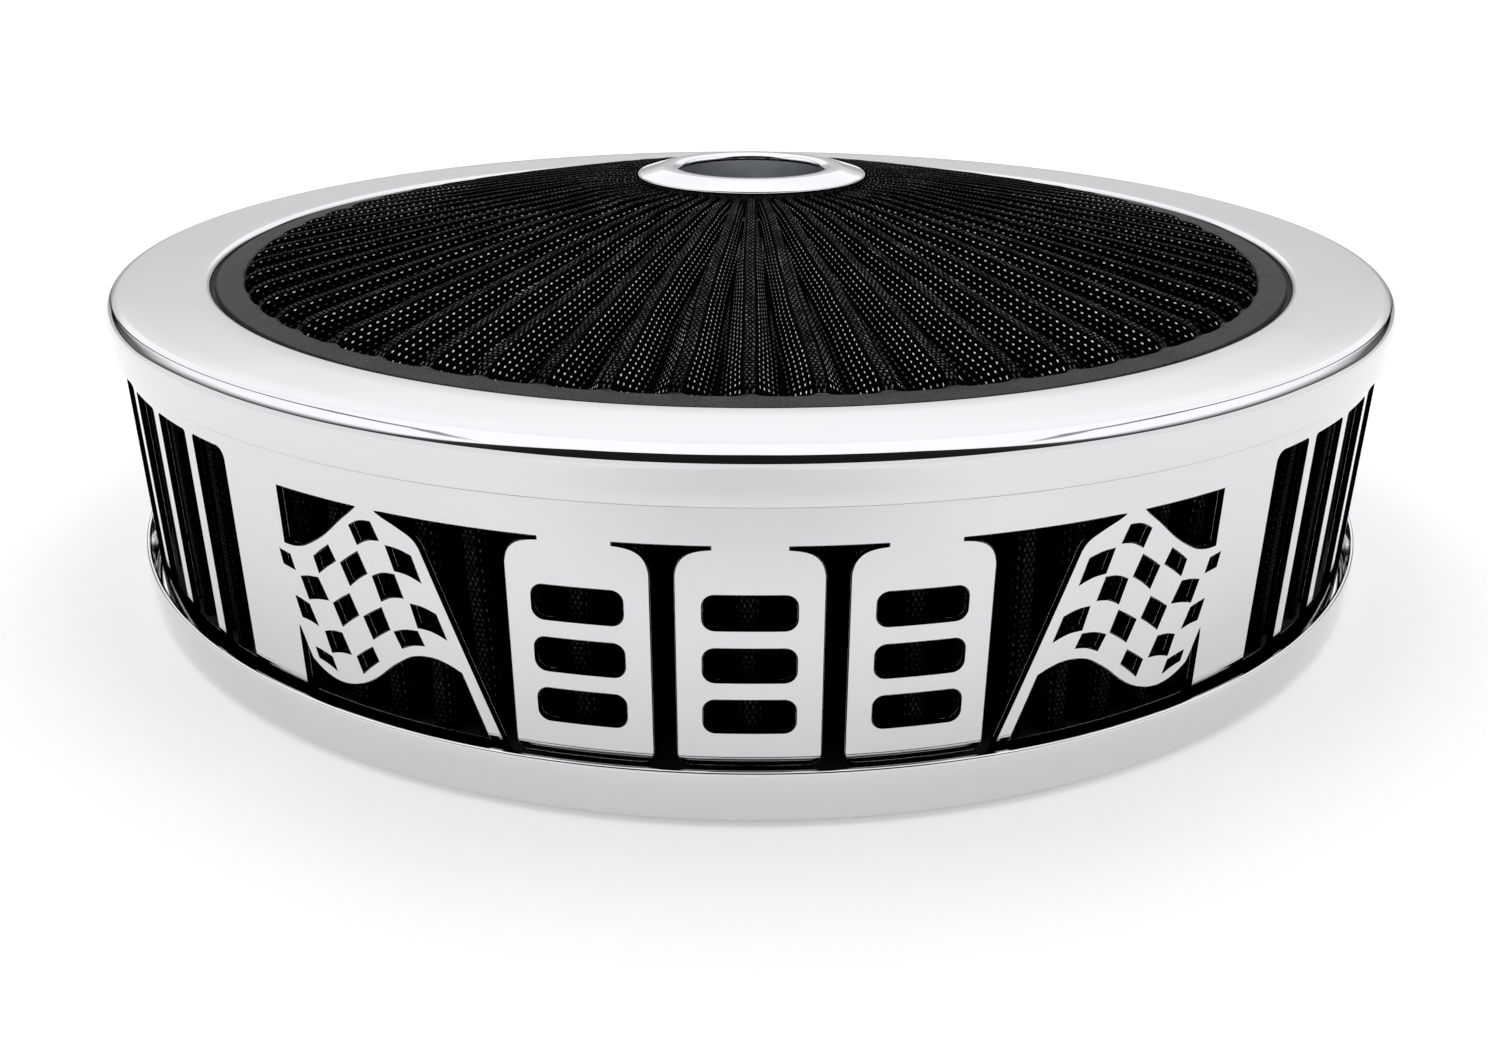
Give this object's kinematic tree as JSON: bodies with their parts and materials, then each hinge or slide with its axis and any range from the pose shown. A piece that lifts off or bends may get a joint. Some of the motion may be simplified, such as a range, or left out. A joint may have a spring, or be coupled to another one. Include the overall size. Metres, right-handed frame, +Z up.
{
  "type": "carburetor air cleaner",
  "caption": "Round chromed carburetor air cleaner with recessed base, pleated side element behind a cut-out shroud ring, pleated flow-through top and wing-nut hub.",
  "frame": {"origin": "middle of the round base, on the surface that the base rim rests on", "axes": "+Z up along the centre stud, -Y towards the front window of the shroud ring"},
  "size_m": [0.361, 0.361, 0.1041],
  "materials": {
    "chrome": "bright chrome plate on pressed steel",
    "coated_wire": "black epoxy-coated wire cloth",
    "gauze": "pleated black cotton gauze",
    "urethane": "moulded urethane, fine matt grain",
    "zinc": "satin zinc plate",
    "rubber": "matt black rubber"
  },
  "bodies": {
    "cleaner": {"base_pan": "chrome", "neck_gasket": "rubber", "side_wire_outer": "coated_wire", "side_pleats": "gauze", "side_wire_inner": "coated_wire", "side_seal_bottom": "urethane", "side_seal_top": "urethane", "shroud_ring": "chrome", "lid_ring": "chrome", "top_filter_frame": "urethane", "top_wire_upper": "coated_wire", "top_pleats": "gauze", "top_wire_lower": "coated_wire", "hub_cap": "chrome", "nut_cup": "zinc", "hub_core": "urethane", "hub_backing_plate": "zinc", "centre_stud": "zinc", "seal_washer": "rubber"},
    "nut_lift_washer": {"nut_washer": "zinc"},
    "nut": {"wing_nut": "chrome"}
  },
  "joints": [
    {"name": "nut_lift", "type": "slide", "parent": "cleaner", "child": "nut_lift_washer", "axis": [0, 0, 1], "range_m": [0, 0.0127]},
    {"name": "nut_spin", "type": "hinge", "parent": "nut_lift_washer", "child": "nut", "pos_m": [0, 0, 0.08], "axis": [0, 0, 1], "range_deg": [0, 3600]}
  ],
  "couplings": [
    {"joint": "nut_spin", "follows": "nut_lift", "rad_per_m": 4947.3}
  ]
}
